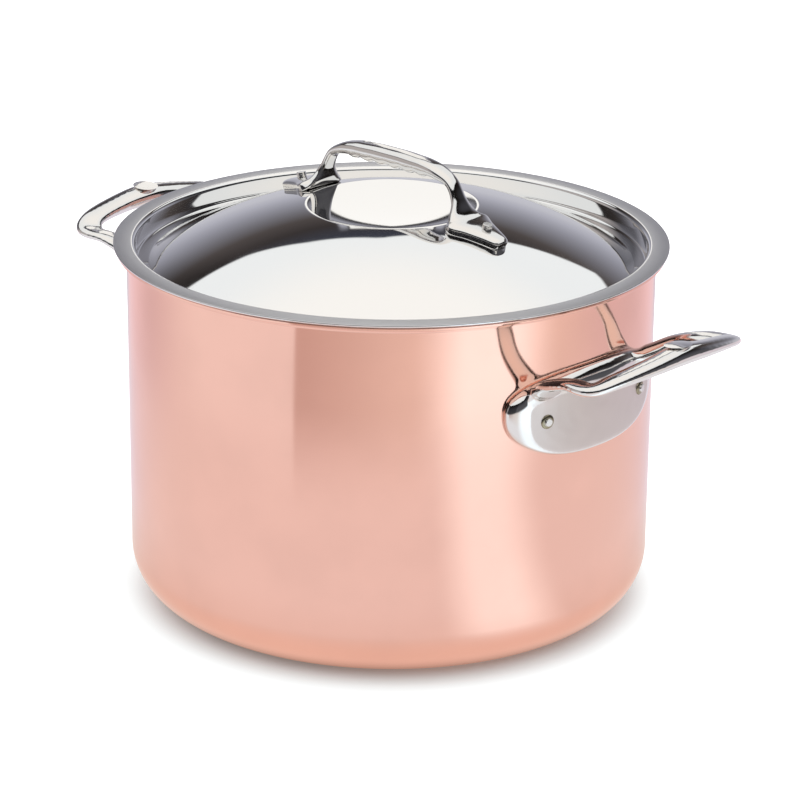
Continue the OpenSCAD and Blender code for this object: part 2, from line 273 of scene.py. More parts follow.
def turned(name, profile, steps):
    """A piece turned on a lathe.

    A circle is extruded and resized along a profile of (radius, height) that starts and ends on the axis.
    """
    start_clean()
    first, last, rings = profile[0], profile[-1], profile[1:-1]
    radius, height = rings[0]
    bpy.ops.mesh.primitive_circle_add(vertices=steps, radius=radius, fill_type="NGON", location=(0, 0, height))
    piece = name_piece(name)
    bpy.ops.object.transform_apply(location=True, rotation=True, scale=True)
    bpy.ops.object.mode_set(mode="EDIT")
    for (radius, height), (next_radius, next_height) in zip(rings, rings[1:]):
        bpy.ops.mesh.extrude_region_move()
        k = next_radius / radius
        bpy.ops.transform.resize(value=(k, k, 1), center_override=(0, 0, height))
        bpy.ops.transform.translate(value=(0, 0, next_height - height))
    close_pole(piece, last[1], rings[-1][1])
    close_pole(piece, first[1], rings[0][1])
    bpy.ops.mesh.select_all(action="SELECT")
    bpy.ops.mesh.remove_doubles(threshold=MERGE)
    bpy.ops.mesh.normals_make_consistent(inside=False)
    bpy.ops.object.mode_set(mode="OBJECT")
    return smoothed(piece, 30)


def close_pole(piece, pole, height):
    """The many-sided face that closes one end of a turned piece is drawn together into a point on the axis."""
    cage = bmesh.from_edit_mesh(piece.data)
    bpy.ops.mesh.select_all(action="DESELECT")
    bpy.ops.mesh.select_mode(type="FACE")
    for face in cage.faces:
        face.select = len(face.verts) > 4 and abs(face.calc_center_median().z - height) < LEVEL
    bmesh.update_edit_mesh(piece.data)
    bpy.ops.mesh.merge(type="CENTER")
    bpy.ops.transform.translate(value=(0, 0, pole - height))


def lofted(name, rings):
    """A piece drawn through rings of points.

    A filled ring is extruded again and again, and the points of each new ring are set in their places.
    """
    start_clean()
    bpy.ops.mesh.primitive_circle_add(vertices=len(rings[0]), radius=0.01, fill_type="NGON")
    piece = name_piece(name)
    bpy.ops.object.mode_set(mode="EDIT")
    cage = bmesh.from_edit_mesh(piece.data)
    slots = {vertex.index: i for i, vertex in enumerate(cage.verts)}
    for vertex in cage.verts:
        vertex.co = rings[0][slots[vertex.index]]
    for ring in rings[1:]:
        bpy.ops.mesh.extrude_region_move()
        cage = bmesh.from_edit_mesh(piece.data)
        cage.verts.index_update()
        new = [v for v in cage.verts if v.select]
        found = {}
        for vertex in new:
            (source,) = [e.other_vert(vertex) for e in vertex.link_edges if not e.other_vert(vertex).select]
            found[vertex.index] = slots[source.index]
            vertex.co = ring[found[vertex.index]]
        slots = {**slots, **found}
        bmesh.update_edit_mesh(piece.data)
    bpy.ops.mesh.select_all(action="SELECT")
    bpy.ops.mesh.normals_make_consistent(inside=False)
    bpy.ops.object.mode_set(mode="OBJECT")
    return piece


def finish_with(piece, kind, **settings):
    """A modifier is added, set and applied."""
    only(piece)
    modifier = piece.modifiers.new(kind.title(), kind)
    for key, value in settings.items():
        setattr(modifier, key, value)
    bpy.ops.object.modifier_apply(modifier=modifier.name)
    return piece


def filleted(piece, radius, detail):
    """A casting's inner corners are filled: the piece swells by a radius and shrinks back, and is then smoothed."""
    finish_with(piece, "REMESH", mode="VOXEL", voxel_size=detail, adaptivity=0.0)
    for swell in (radius, -radius):
        finish_with(piece, "DISPLACE", strength=swell, mid_level=0.0)
        finish_with(piece, "REMESH", mode="VOXEL", voxel_size=detail, adaptivity=0.0)
    return finish_with(piece, "SMOOTH", factor=0.5, iterations=8)


def joined(name, pieces):
    """Several pieces become one."""
    start_clean()
    for piece in pieces:
        piece.select_set(True)
    bpy.context.view_layer.objects.active = pieces[0]
    bpy.ops.object.join()
    return name_piece(name)


def placed(piece, matrix):
    """A piece is moved, with its place in its mesh."""
    piece.data.transform(matrix)
    piece.data.update()
    return piece


def copied(piece, name, matrix):
    """A copy with a mesh of its own, moved to its place."""
    only(piece)
    bpy.ops.object.duplicate(linked=False)
    return placed(name_piece(name), matrix)


def dress(piece, body, slot, nodes, *materials):
    """A finished piece rides on its body, stands for its CAD nodes and gets its metals."""
    piece.data.materials.clear()
    for material in materials:
        piece.data.materials.append(material)
    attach(piece, body)
    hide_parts(*nodes)
    return piece


# Smooth paths for the cast pieces


def curve_point(a, b, c, d, t):
    """A point on a smooth curve through four rows of numbers, at a share t of the way from b to c."""
    return [
        (2 * q + (r - p) * t + (2 * p - 5 * q + 4 * r - s) * t**2 + (3 * q - p - 3 * r + s) * t**3) / 2
        for p, q, r, s in zip(a, b, c, d)
    ]


def smooth_rows(rows, steps):
    """A smooth curve through all the rows, with a number of steps between two of them."""
    last = len(rows) - 1
    made = [
        curve_point(rows[max(i - 1, 0)], rows[i], rows[i + 1], rows[min(i + 2, last)], k / steps)
        for i in range(last)
        for k in range(steps)
    ]
    return made + [list(rows[last])]


def soft(value, squareness):
    """A sine or cosine drawn out so that a circle becomes a squarish oval. It keeps its sign."""
    return math.copysign(abs(value) ** (2 / squareness), value)


def oval_ring(centre, side, top, half_width, half_height, squareness, points, below=1.0, square_below=None):
    """A ring of points round a squarish oval. Its lower half may be deeper, and squarer."""
    ring = []
    for k in range(points):
        turn = 2 * math.pi * k / points
        up = soft(math.sin(turn), squareness) * half_height
        wide = soft(math.cos(turn), squareness)
        if up < 0 and square_below:
            up = soft(math.sin(turn), square_below) * half_height
            wide = soft(math.cos(turn), square_below)
        ring.append(centre + side * wide * half_width + top * (up if up > 0 else up * below))
    return ring


def travel(places, i):
    """The direction of travel along a list of points."""
    return (places[min(i + 1, len(places) - 1)] - places[max(i - 1, 0)]).normalized()


# Shader recipes


class Signal:
    """A node socket that arithmetic can be written with."""

    def __init__(self, recipe, socket):
        self.recipe = recipe
        self.socket = socket

    def math(self, operation, *values):
        """A sum on sockets and numbers."""
        return self.recipe.node("ShaderNodeMath", {"operation": operation}, dict(enumerate(values)))

    def __add__(self, other):
        return self.math("ADD", self, other)

    def __sub__(self, other):
        return self.math("SUBTRACT", self, other)

    def __rsub__(self, other):
        return self.math("SUBTRACT", other, self)

    def __mul__(self, other):
        return self.math("MULTIPLY", self, other)

    def __truediv__(self, other):
        return self.math("DIVIDE", self, other)

    def __rtruediv__(self, other):
        return self.math("DIVIDE", other, self)

    def __pow__(self, other):
        return self.math("POWER", self, other)

    __radd__ = __add__
    __rmul__ = __mul__

    def rise(self, low, high):
        """0 at low, 1 at high and a soft rise between them. low may be the higher number."""
        values = {"Value": self, "From Min": low, "From Max": high}
        return self.recipe.node("ShaderNodeMapRange", {"interpolation_type": "SMOOTHSTEP"}, values)

    def mix(self, at_zero, at_one):
        """A colour between two colours."""
        values = {"Factor": self, "A": at_zero, "B": at_one}
        return self.recipe.node("ShaderNodeMix", {"data_type": "RGBA"}, values, "Result")

    def scaled(self, k):
        """A colour made darker or lighter."""
        return self.recipe.node("ShaderNodeVectorMath", {"operation": "SCALE"}, {"Vector": self, "Scale": k})

    def brightness(self):
        """One number from a grey colour."""
        return self.recipe.node("ShaderNodeSeparateColor", {}, {"Color": self}, "Red")


class Recipe:
    """The node tree of one finish, of the floor or of the studio."""

    def __init__(self, tree):
        self.tree = tree
        tree.nodes.clear()

    def node(self, kind, settings=None, values=None, output=0):
        """One node. Its settings come first, and then the values or links of its sockets."""
        node = self.tree.nodes.new(kind)
        for key, value in (settings or {}).items():
            setattr(node, key, value)
        for key, value in (values or {}).items():
            socket = self.pick(node.inputs, key)
            if isinstance(value, Signal):
                self.tree.links.new(value.socket, socket)
            elif socket.type == "RGBA" and len(value) == 3:
                socket.default_value = (*value, 1.0)
            else:
                socket.default_value = value
        return Signal(self, self.pick(node.outputs, output) if node.outputs else None)

    def pick(self, sockets, key):
        """A socket by its number, or the one of its name that the node's settings leave on."""
        if isinstance(key, int):
            return sockets[key]
        return next(s for s in sockets if s.name == key and s.enabled)

    def place(self):
        """The three coordinates of a point."""
        point = self.node("ShaderNodeTexCoord", output="Object")
        return [self.node("ShaderNodeSeparateXYZ", {}, {"Vector": point}, axis) for axis in "XYZ"]

    def point(self, x, y, z):
        """A point from three coordinates."""
        return self.node("ShaderNodeCombineXYZ", {}, {"X": x, "Y": y, "Z": z})

    def noise(self, vector, scale, detail):
        """Grain between 0 and 1."""
        return self.node("ShaderNodeTexNoise", {}, {"Vector": vector, "Scale": scale, "Detail": detail})

    def bump(self, height, distance):
        """A normal from a pattern, where distance is the height of 1, in metres."""
        return self.node("ShaderNodeBump", {}, {"Height": height, "Distance": distance, "Strength": 1.0}, "Normal")

    def ray(self, kind):
        """1 for rays of one kind, and 0 for the others."""
        return self.node("ShaderNodeLightPath", output=f"Is {kind} Ray")

    def mixed(self, factor, at_zero, at_one):
        """A shader between two shaders."""
        return self.node("ShaderNodeMixShader", {}, {0: factor, 1: at_zero, 2: at_one})

    def gradient(self, degrees, stops):
        """A colour ramp over angles from -90 to 90 degrees."""
        signal = self.node("ShaderNodeValToRGB", {}, {"Fac": (degrees + 90.0) / 180.0}, "Color")
        ramp = signal.socket.node.color_ramp
        while len(ramp.elements) < len(stops):
            ramp.elements.new(0.5)
        for element, (place, paint) in zip(ramp.elements, stops):
            element.position = (place + 90) / 180
            element.color = (*paint, 1.0)
        return signal

    def metal(self, **values):
        """The metal's shader, with the rest of its sockets as given."""
        named = {key.replace("_", " ").title(): value for key, value in values.items()}
        shader = self.node("ShaderNodeBsdfPrincipled", {}, {"Metallic": 1.0, **named}, "BSDF")
        self.node("ShaderNodeOutputMaterial", {}, {"Surface": shader})


def finish_called(name, make, *values):
    """A finish is made once and then shared by the pieces that have it."""
    made = bpy.data.materials.get(name)
    if made is None:
        made = bpy.data.materials.new(name)
        made.use_nodes = True
        make(Recipe(made.node_tree), *values)
    return made


def radius_of(x, y):
    """Distance from the pot's axis."""
    return (x * x + y * y) ** 0.5


def abs_of(value):
    """A number without its sign."""
    return value.math("ABSOLUTE", value)


def angle_of(x, y):
    """Direction round the pot's axis, in radians."""
    return x.math("ARCTAN2", y, x)


def toned(metal, *shares):
    """A metal's colour, darkened by one share or by one for each of red, green and blue."""
    return [part * k for part, k in zip(metal, shares * (3 // len(shares)))]


def polished_copper(recipe, colours):
    """Mirror-polished copper. The polish runs round the pot, so what it mirrors is drawn out upwards.

    Its fine lines are 50 times as long round the pot as they are high.
    """
    x, y, z = recipe.place()
    far = radius_of(x, y)
    cloud = recipe.noise(recipe.point(x, y, z), 22.0, 3.0)
    lines = recipe.noise(recipe.point(angle_of(x, y) * 2.196, z * 900.0, far * 900.0), 1.0, 4.0)
    wipe = recipe.noise(recipe.point(x * 60.0, y * 60.0, z * 25.0), 1.0, 4.0)
    rough = colours.copper_roughness
    recipe.metal(
        base_color=cloud.rise(0.35, 0.7).mix(toned(colours.copper, 0.955), toned(colours.copper, 1.0)),
        roughness=rough * 0.8 + lines * (rough * 0.25) + wipe.rise(0.45, 0.8) * (rough * 0.25),
        anisotropic=0.75,
        anisotropic_rotation=0.25,
        normal=recipe.bump(lines, 0.0000035),
    )


def satin_lining(recipe, colours):
    """Satin steel, brushed round the pot."""
    x, y, z = recipe.place()
    far = radius_of(x, y)
    lines = recipe.noise(recipe.point(angle_of(x, y) * 1.2, z * 2200.0, far * 2200.0), 1.0, 5.0)
    cloud = recipe.noise(recipe.point(x, y, z), 30.0, 3.0)
    recipe.metal(
        base_color=cloud.mix(toned(colours.satin, 0.96), toned(colours.satin, 1.0)),
        roughness=0.24 + lines * 0.12,
        anisotropic=0.4,
        anisotropic_rotation=0.25,
        normal=recipe.bump(lines, 0.000012),
    )


def turned_steel(recipe, colours):
    """Magnetic steel with the fine rings that the lathe's tool leaves."""
    x, y, z = recipe.place()
    far = radius_of(x, y)
    across = far * 9000.0
    rings = across.math("SINE", across) * 0.5 + 0.5
    cloud = recipe.noise(recipe.point(x, y, z), 45.0, 4.0)
    recipe.metal(
        base_color=cloud.mix(toned(colours.satin, 0.72), toned(colours.satin, 0.84)),
        roughness=0.3 + cloud * 0.14,
        normal=recipe.bump(rings, 0.00002),
    )


def lid_polish(recipe, colours, satin_from, satin_above):
    """Mirror steel on dome, trough and plug, and a satin flange with fine turned lines.

    satin_from is the radius at which the satin starts, and satin_above the height of the flange's top.
    """
    x, y, z = recipe.place()
    far = radius_of(x, y)
    outside = far.rise(satin_from - 0.2 * MM, satin_from + 0.2 * MM)
    flange = outside * z.rise(satin_above - 0.6 * MM, satin_above - 0.2 * MM)
    lines = recipe.noise(recipe.point(angle_of(x, y) * 1.5, far * 2600.0, z * 400.0), 1.0, 4.0)
    wipe = recipe.noise(recipe.point(x * 40.0, y * 40.0, z * 40.0), 1.0, 5.0)
    recipe.metal(
        base_color=flange.mix(toned(colours.steel, 1.0), toned(colours.satin, 0.92)),
        roughness=0.035 + wipe.rise(0.45, 0.8) * 0.025 + flange * (0.25 + lines * 0.1),
        normal=recipe.bump(lines * flange, 0.00001),
    )


def casting_skin(recipe):
    """Fine grain, the slow waves that hand polishing leaves, and wipe marks."""
    spot = recipe.point(*recipe.place())
    return [recipe.noise(spot, scale, detail) for scale, detail in ((2600.0, 3.0), (130.0, 2.0), (70.0, 5.0))]


def cast_polish(recipe, colours, sizes, wall):
    """Polished casting. The plate's flat face is left satin, inside its rim."""
    x, y, z = recipe.place()
    grain, wave, wipe = casting_skin(recipe)
    along = abs_of(angle_of(abs_of(x), y)) * wall
    up = z - sizes.plate_height
    half = sizes.plate_width / 2 - sizes.end_roll
    above, below = sizes.plate_above - sizes.rim_above, sizes.plate_below - sizes.rim_width
    high = up.rise(-0.1 * MM, 0.1 * MM) * (above - below) + below
    oval = (along / half) ** 3.0 + (abs_of(up) / high) ** 3.0
    face = sizes.plate_thickness + wall
    satin = oval.rise(1.03, 0.97) * radius_of(x, y).rise(face + 1.1 * MM, face + 0.7 * MM)
    recipe.metal(
        base_color=satin.mix(toned(colours.cast, 1.0), toned(colours.cast, 0.88, 0.82, 0.80)),
        roughness=0.07 + wipe.rise(0.4, 0.8) * 0.05 + satin * (0.2 + grain * 0.08),
        normal=recipe.bump(wave * 4.0 + grain * satin * 0.6 + grain * 0.06, 0.00001),
    )


def grip_polish(recipe, colours):
    """Polished casting all over."""
    grain, wave, wipe = casting_skin(recipe)
    recipe.metal(
        base_color=wipe.mix(toned(colours.cast, 0.97), toned(colours.cast, 1.0)),
        roughness=0.07 + wipe.rise(0.4, 0.8) * 0.06,
        normal=recipe.bump(wave * 4.0 + grain * 0.06, 0.00001),
    )


def rivet_finish(recipe, colours, rivets, wall):
    """Satin steel, with a dull brown ring painted round the plug of a wall rivet as the shade that falls in the recess
    there.
    """
    x, y, z = recipe.place()
    grain = recipe.noise(recipe.point(x, y, z), 1500.0, 3.0)
    along = abs_of(angle_of(abs_of(x), y)) * wall - rivets.spacing / 2
    from_axis = radius_of(along, z - rivets.height)
    # painted shade: a darker, browner ring round the plug of a wall rivet, standing in for the shade in its recess
    ring = from_axis.rise(rivets.nub - 0.1 * MM, rivets.nub + 0.2 * MM) * radius_of(x, y).rise(wall, wall + 1 * MM)
    unshaded_steel = grain.mix(toned(colours.cast, 0.95), toned(colours.cast, 1.0))
    recipe.metal(
        base_color=ring.mix(unshaded_steel, (0.34, 0.30, 0.21)),
        roughness=0.2 + grain * 0.1,
        normal=recipe.bump(grain, 0.000012),
    )


# The pieces


def pot_profile(pot, depth, thickness):
    """A layer of the pot, from the middle of its underside out over the lip and back to the middle inside."""
    outer_corner = (pot.wall_radius - pot.base_edge, pot.underside + pot.base_edge)
    bend = (pot.wall_radius + pot.lip_bend, pot.lip_top - pot.copper - pot.lining - pot.lip_bend)
    low = pot.underside + depth
    edge = min(thickness, 0.8 * MM) * 0.45
    top_out = bend[1] + pot.lip_bend + depth
    wall = pot.wall_radius - depth
    outside = (
        arc(outer_corner, pot.base_edge - depth, -90, 0, 20)
        + [(wall, height) for height in WALL_RINGS]
        + arc(bend, pot.lip_bend + depth, 180, 90, 8)
        + arc((pot.lip_radius - edge, top_out + edge), edge, -90, 0, 4)
    )
    wall -= thickness
    inside = (
        arc((pot.lip_radius - edge, top_out + thickness - edge), edge, 0, 90, 4)
        + arc(bend, pot.lip_bend + depth + thickness, 90, 180, 8)
        + [(wall, height) for height in WALL_RINGS[::-1]]
        + arc(outer_corner, pot.base_edge - depth - thickness, 0, -90, 20)
    )
    return low, outside, inside


def bore(radius, start, end, matrix, sink=0.0, sink_at=0.0):
    """A round cutter for a rivet's bore, with a small countersink where the bore comes out, if it has one."""
    past = 4 * MM
    profile = [(0, start), (radius, start), (radius, end), (0, end)]
    if sink:
        cone = [(radius, sink_at - sink), (radius + sink + past, sink_at + past), (0, sink_at + past)]
        profile = profile[:2] + cone
    return placed(turned("bore", profile, RIVET_STEPS), matrix)


def cut(piece, cutters):
    """Cutters are taken out of a piece."""
    for cutter in cutters:
        finish_with(piece, "BOOLEAN", operation="DIFFERENCE", solver="EXACT", object=cutter)
        bpy.data.objects.remove(cutter)
    return piece


def wall_rivet_axes(pot, rivets):
    """Place and direction of each side handle rivet: its start on the inside of the wall, pointing outwards."""
    lean = rivets.spacing / 2 / pot.wall_radius
    inner = pot.wall_radius - pot.copper - pot.lining
    turns = {
        "right_front": -lean,
        "right_rear": lean,
        "left_front": math.pi + lean,
        "left_rear": math.pi - lean,
    }
    outward = Matrix.Translation((inner, 0, rivets.height)) @ Matrix.Rotation(math.pi / 2, 4, "Y")
    return {key: Matrix.Rotation(turn, 4, "Z") @ outward for key, turn in turns.items()}


def dome_shape(lid):
    """Radius of the dome's outside and the height of its middle."""
    foot = lid.plug_radius - lid.trough_width
    rise = lid.dome_top - lid.underside - lid.sheet
    radius = (foot**2 + rise**2) / (2 * rise)
    return radius, lid.dome_top - radius


def dome_height(lid, far):
    """Height of the dome's outside at a distance from its middle. A round crest runs round the shallow dish."""
    radius, middle = dome_shape(lid)
    start, end = lid.dish_radius - lid.dish_edge, lid.dish_radius + lid.dish_edge
    if far >= end:
        return middle + math.sqrt(radius**2 - far**2)
    inward = math.tan(lid.dish_slope)
    outward = end / math.sqrt(radius**2 - end**2)
    back = end - max(far, start)
    crest = middle + math.sqrt(radius**2 - end**2) + outward * back - (inward + outward) / (end - start) * back**2 / 2
    return crest - inward / (2 * start) * max(start**2 - far**2, 0.0)


def lid_rivet_axes(lid, rivets):
    """Place and direction of each lid rivet, square to the dome."""
    radius, middle = dome_shape(lid)
    tilt = math.asin(rivets.lid_place / radius)
    height = middle + math.sqrt(radius**2 - rivets.lid_place**2)
    stand = Matrix.Translation((rivets.lid_place, 0, height)) @ Matrix.Rotation(tilt, 4, "Y")
    return {"right": stand, "left": Matrix.Rotation(math.pi, 4, "Z") @ stand}


class STOCKPOT_OT_body(bpy.types.Operator):
    """Turns the copper body, its steel lining and the magnetic disc under it"""

    bl_idname = "stockpot.body"
    bl_label = "Pot body"

    def execute(self, context):
        pot, rivets, colours = groups_of(context, "pot", "rivets", "finishes")
        low, outside, inside = pot_profile(pot, 0, pot.copper)
        recess = pot.disc_radius + pot.disc_gap
        edge = 0.2 * MM
        ring = [(0, pot.disc_thickness), (recess, pot.disc_thickness), (recess, low + edge), (recess + edge, low)]
        copper = turned("copper_body", ring + outside + inside + [(0, low + pot.copper)], BODY_STEPS)
        low, outside, inside = pot_profile(pot, pot.copper, pot.lining)
        lining = turned("steel_inside", [(0, low)] + outside + inside + [(0, low + pot.lining)], BODY_STEPS)
        for piece in (copper, lining):
            axes = wall_rivet_axes(pot, rivets).values()
            cut(piece, [bore(rivets.shank + BORE_PLAY, -4 * MM, 6 * MM, axis) for axis in axes])
            finish_with(piece, "WELD", merge_threshold=MERGE)
            smoothed(piece, 30)
        step = 4 * MM
        face = [(k * step, 0.0) for k in range(1, 24) if k * step < pot.disc_radius - 1 * MM]
        rim = [(pot.disc_radius - edge, 0.0), (pot.disc_radius, edge), (pot.disc_radius, pot.disc_thickness)]
        disc = turned("base_disc", [(0, 0)] + face + rim + [(0, pot.disc_thickness)], DISC_STEPS)
        dress(copper, "pot", "copper", ["copper_shell"], finish_called("polished copper", polished_copper, colours))
        dress(lining, "pot", "lining", ["steel_lining"], finish_called("satin lining", satin_lining, colours))
        dress(disc, "pot", "base_steel", ["magnetic_base_disc"], finish_called("turned steel", turned_steel, colours))
        return {"FINISHED"}


# Half of a side handle's loop, from its root in the plate to the middle of the bar. Each row is outward, sideways,
# upward, width, thickness and slope, as shares of the loop's sizes.
LOOP_SHARES = [
    [-0.02, 0.66, 0.32, 0.90, 0.80, 0.0],
    [0.12, 0.76, 0.43, 0.90, 0.78, 0.0],
    [0.30, 0.88, 0.61, 0.83, 0.67, 0.0],
    [0.54, 0.93, 0.74, 0.88, 0.52, 0.2],
    [0.79, 0.95, 0.77, 0.92, 0.58, 0.5],
    [0.92, 0.78, 0.88, 0.84, 0.66, 0.8],
    [0.99, 0.38, 0.96, 0.86, 0.84, 1.0],
    [1.00, 0.00, 1.00, 0.94, 1.00, 1.0],
]
# How square the ovals are: 2 is an ellipse.
SQUARE_LOOP = 2.4
SQUARE_GRIP = 2.6
SQUARE_FOOT = 9.6
PATH_STEPS = 12


def plate_ring(handle, wall, inset, far, scale=1.0, points=96):
    """The plate's outline, bent round the wall at a radius.

    It is drawn in by a share of its rim, which is wider at the rolled ends, and shrunk towards its middle.
    """
    ring = []
    for k in range(points):
        turn = 2 * math.pi * k / points
        deep = handle.plate_above if math.sin(turn) > 0 else handle.plate_below
        wide = soft(math.cos(turn), SQUARE_LOOP) * handle.plate_width / 2
        edge = Vector((wide, soft(math.sin(turn), SQUARE_LOOP) * deep))
        rim = handle.rim_width + (handle.rim_above - handle.rim_width) * max(math.sin(turn), 0.0) ** 2
        rim += (handle.end_roll - rim) * math.cos(turn) ** 4
        edge = (edge - edge.normalized() * inset * rim) * scale
        bend = edge.x / wall
        ring.append(Vector((far * math.cos(bend), far * math.sin(bend), handle.plate_height + edge.y)))
    return ring


def plate_rings(handle, wall):
    """The whole plate: its back on the wall, its rounded rim and its flat face."""
    side = 1.2 * MM
    face = wall + handle.plate_thickness
    back = [plate_ring(handle, wall, 0.05, wall, k / 6) for k in range(1, 7)]
    edge = [plate_ring(handle, wall, 0.0, wall + side * k / 2) for k in (1, 2)]
    over = [
        plate_ring(handle, wall, 1 - math.cos(a), wall + side + (handle.plate_thickness - side) * math.sin(a))
        for a in [math.radians(d) for d in range(9, 91, 9)]
    ]
    front = [plate_ring(handle, wall, 1.0, face, k / 6) for k in range(5, 0, -1)]
    return back + edge + over + front


def loop_rings(handle, wall):
    """The loop from one root through the bar to the other root."""
    back = [[row[0], -row[1], *row[2:]] for row in LOOP_SHARES[-2::-1]]
    rows = smooth_rows(LOOP_SHARES + back, PATH_STEPS)
    places = [
        Vector((wall + r[0] * handle.reach, -r[1] * handle.half_width, handle.plate_height + r[2] * handle.rise))
        for r in rows
    ]
    rings = []
    for i, (place, row) in enumerate(zip(places, rows)):
        going = travel(places, i)
        flat = going.cross(Vector((0, 0, 1))).normalized()
        rise = flat.cross(going)
        slope = row[5] * handle.bar_tilt
        side = flat * math.cos(slope) + rise * math.sin(slope)
        top = rise * math.cos(slope) - flat * math.sin(slope)
        wide, thick = row[3] * handle.bar_width, row[4] * handle.bar_thickness
        if place.x > wall + 2 * MM:
            rings.append(oval_ring(place, side, top, wide / 2, thick / 2, SQUARE_LOOP, 48))
    return rings


class STOCKPOT_OT_side_handles(bpy.types.Operator):
    """Casts a side handle, with its plate, arms, bar and plain boss in one, and its twin on the other side"""

    bl_idname = "stockpot.side_handles"
    bl_label = "Side handles"

    def execute(self, context):
        pot, handle, rivets, colours = groups_of(context, "pot", "side_handle", "rivets", "finishes")
        wall = pot.wall_radius
        plate = lofted("plate", plate_rings(handle, wall))
        loop = lofted("loop", loop_rings(handle, wall))
        radius, foot, bevel = handle.boss_radius, 1.5 * MM, 0.5 * MM
        tall = handle.bar_thickness / 2 + handle.boss_height
        stand = Matrix.Translation((wall + handle.reach, 0, handle.plate_height + handle.rise))
        stand = stand @ Matrix.Rotation(-handle.bar_tilt / 2, 4, "Y")
        profile = [(0, foot), (radius, foot), (radius, tall - bevel), (radius - bevel, tall), (0, tall)]
        boss = placed(turned("boss", profile, RIVET_STEPS), stand)
        casting = joined("side_handle_casting_right", [plate, loop])
        filleted(casting, handle.fillet, handle.casting)
        finish_with(casting, "BOOLEAN", operation="UNION", solver="EXACT", object=boss)
        bpy.data.objects.remove(boss)
        mouth = pot.copper + pot.lining + handle.plate_thickness
        axes = [axis for key, axis in wall_rivet_axes(pot, rivets).items() if key.startswith("right")]
        cut(casting, [bore(rivets.shank + BORE_PLAY, -10 * MM, 0, axis, 0.5 * MM, mouth) for axis in axes])
        smoothed(casting, 40)
        twin = copied(casting, "side_handle_casting_left", Matrix.Rotation(math.pi, 4, "Z"))
        finish = finish_called("cast steel", cast_polish, colours, handle, wall)
        dress(casting, "pot", "cast_steel", ["side_handle_right"], finish)
        dress(twin, "pot", "cast_steel", ["side_handle_left"], finish)
        return {"FINISHED"}


def rivet_profile(shank, head, head_height, seat, tip, tail, nub):
    """A rivet from the middle of its head to the middle of its closed end.

    seat is where the head's flat side lies, tip is where the shank leaves the casting, and nub is the radius of the
    small plug in the middle of the closed end.
    """
    crown = (head**2 + head_height**2) / (2 * head_height)
    reach = math.asin((head - 0.3 * MM) / crown)
    top = [
        (crown * math.sin(a), seat - head_height + crown * (1 - math.cos(a))) for a in [reach * k / 8 for k in range(9)]
    ]
    lip = [(head, seat - 0.2 * MM), (head - 0.1 * MM, seat), (shank, seat), (shank, tip - 1 * MM)]
    quarter = [math.radians(15 * k) for k in range(7)]
    slope = [(nub + (shank - nub) * math.cos(a), tip + tail * 0.42 * math.sin(a)) for a in quarter]
    edge = min(0.4 * MM, nub * 0.4)
    plug = arc((nub - edge, tip + tail - edge), edge, 0, 90, 4)
    return top + lip + slope + plug + [(0, tip + tail)]


class STOCKPOT_OT_rivets(bpy.types.Operator):
    """Turns the rivets and sets each one in its bore"""

    bl_idname = "stockpot.rivets"
    bl_label = "Rivets"

    def execute(self, context):
        pot, handle, lid, arch = groups_of(context, "pot", "side_handle", "lid", "lid_handle")
        rivets, colours = groups_of(context, "rivets", "finishes")
        finish = finish_called("rivet steel", rivet_finish, colours, rivets, pot.wall_radius)
        inner = pot.wall_radius - pot.copper - pot.lining
        tip = pot.copper + pot.lining + handle.plate_thickness
        profile = rivet_profile(rivets.shank, rivets.head, rivets.head_height, 0, tip, rivets.tail, rivets.nub)
        first = turned("rivet", profile, RIVET_STEPS)
        for vertex in first.data.vertices:
            hollow = math.sqrt(inner**2 - vertex.co.y**2) - inner
            if math.hypot(vertex.co.x, vertex.co.y) > rivets.shank * 1.01:
                vertex.co.z = min(vertex.co.z, hollow)
        for key, axis in wall_rivet_axes(pot, rivets).items():
            rivet = copied(first, "wall_rivet_" + key, axis)
            dress(rivet, "pot", "rivet_steel", ["handle_rivet_" + key], finish)
        bpy.data.objects.remove(first)
        radius, _ = dome_shape(lid)
        seat = math.sqrt((radius - lid.sheet) ** 2 - rivets.lid_head**2) - radius
        profile = rivet_profile(
            rivets.lid_shank,
            rivets.lid_head,
            rivets.lid_head_height,
            seat,
            arch.foot_thickness,
            rivets.lid_tail,
            rivets.lid_shank * 0.97,
        )
        first = turned("rivet", profile, RIVET_STEPS)
        for key, axis in lid_rivet_axes(lid, rivets).items():
            rivet = copied(first, "dome_rivet_" + key, axis)
            dress(rivet, "lid", "rivet_steel", ["lid_rivet_" + key], finish)
        bpy.data.objects.remove(first)
        return {"FINISHED"}


